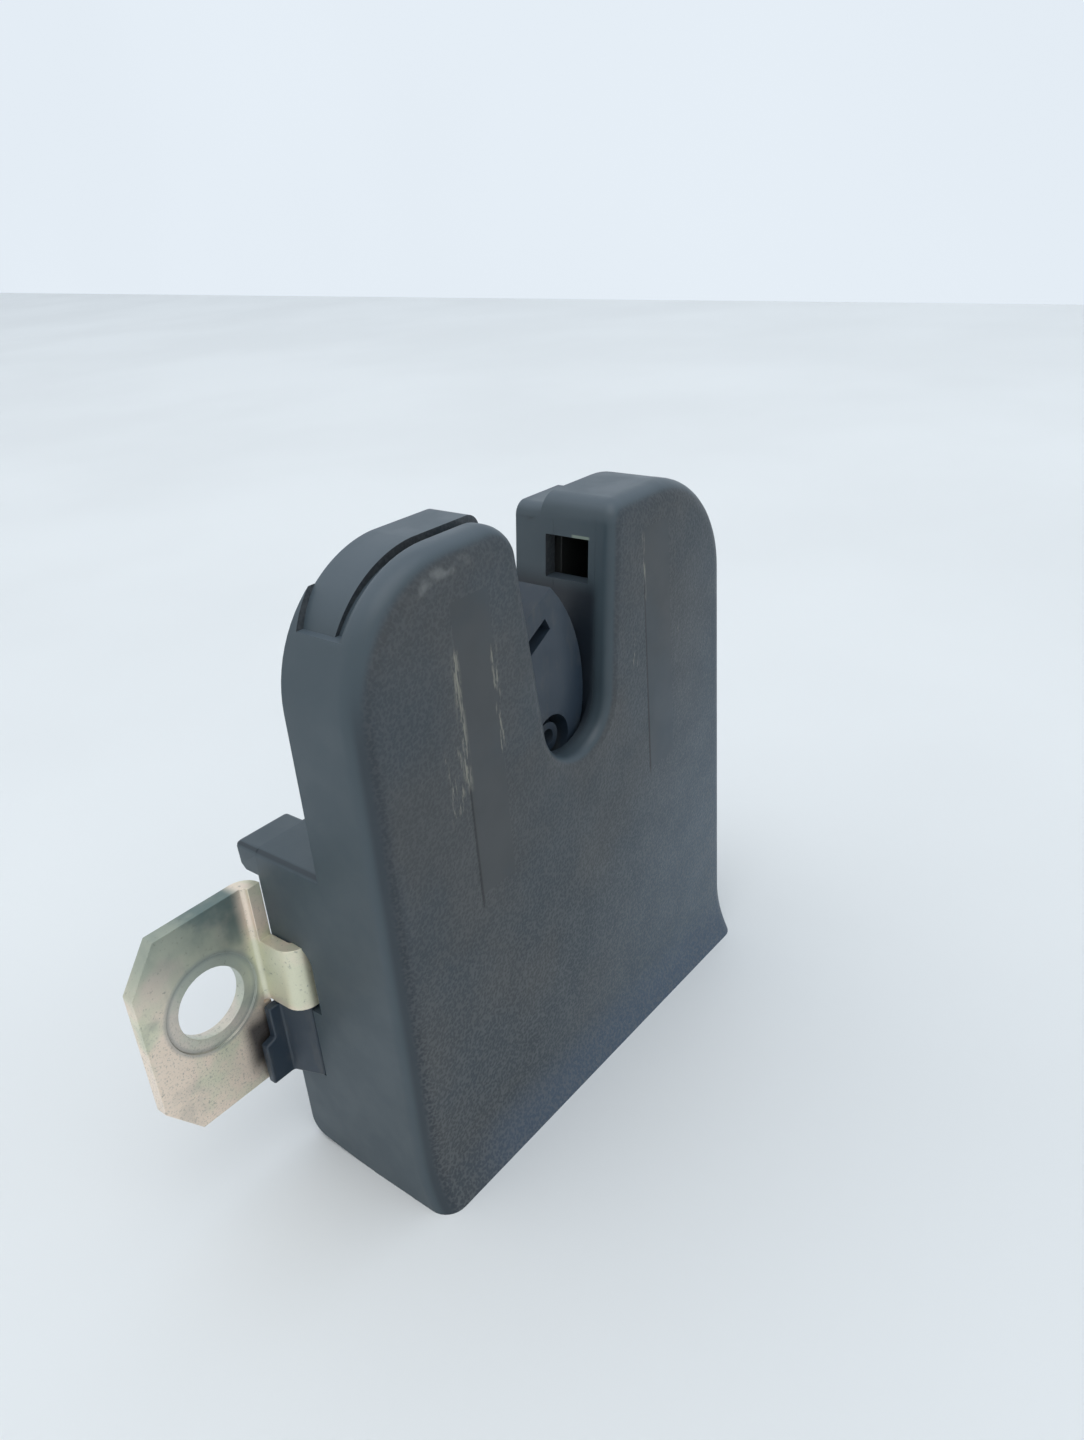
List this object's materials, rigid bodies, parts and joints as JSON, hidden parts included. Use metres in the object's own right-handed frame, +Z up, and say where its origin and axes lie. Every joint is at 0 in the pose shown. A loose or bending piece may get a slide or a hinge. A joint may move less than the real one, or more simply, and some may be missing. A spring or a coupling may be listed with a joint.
{
  "type": "boot latch",
  "caption": "Car boot latch: moulded hood with a tapered striker slot, rotary catch, pawl and release lever inside, and a bolt-on ear at each side.",
  "frame": {"origin": "midway between the two ear holes, on the ears' rear face, which lies on the car body", "axes": "+X to the right seen from the front, +Y to the back, into the car body, +Z up, out of the striker slot"},
  "size_m": [0.1054, 0.028, 0.0805],
  "materials": {
    "cover_plastic": "fine grained, black",
    "smooth_plastic": "smooth, black",
    "zinc_steel": "yellow-passivated zinc on steel",
    "bare_steel": "satin",
    "spring_steel": "drawn wire",
    "black_rubber": "matt",
    "nylon": "natural, satin"
  },
  "bodies": {
    "frame": {"front_cover": "cover_plastic", "rear_housing": "smooth_plastic", "base_plate": "zinc_steel", "plate_screws": "bare_steel", "spring_pegs": "bare_steel", "catch_pivot": "bare_steel", "catch_spring": "spring_steel", "catch_stop": "black_rubber", "stop_peg": "bare_steel", "striker_buffer": "black_rubber", "pawl_pivot": "bare_steel", "pawl_spring": "spring_steel", "lever_pivot": "bare_steel", "lever_washer": "bare_steel", "lever_ring": "spring_steel", "lever_spring": "spring_steel"},
    "catch": {"catch": "smooth_plastic"},
    "pawl": {"pawl": "bare_steel", "pawl_stud": "bare_steel"},
    "lever": {"release_lever": "zinc_steel", "rod_clip": "nylon"}
  },
  "joints": [
    {"name": "catch_turn", "type": "hinge", "parent": "frame", "child": "catch", "pos_m": [-0.0138, -0.0183, 0.027], "axis": [0, 1, 0], "range_deg": [0, 50], "stiffness_Nm_per_rad": 0.04, "springref_deg": -34.38, "deforming": ["catch_spring"]},
    {"name": "lever_turn", "type": "hinge", "parent": "frame", "child": "lever", "pos_m": [-0.02103, -0.0123, 0.00566], "axis": [0, 1, 0], "range_deg": [0, 14], "stiffness_Nm_per_rad": 0.05, "springref_deg": -28.65, "deforming": ["lever_spring"]},
    {"name": "pawl_turn", "type": "hinge", "parent": "frame", "child": "pawl", "pos_m": [0.01215, -0.0172, 0.00326], "axis": [0, 1, 0], "range_deg": [-20, 0], "deforming": ["pawl_spring"]}
  ],
  "couplings": [
    {"joint": "pawl_turn", "follows": "lever_turn", "ratio": -1.4126}
  ]
}
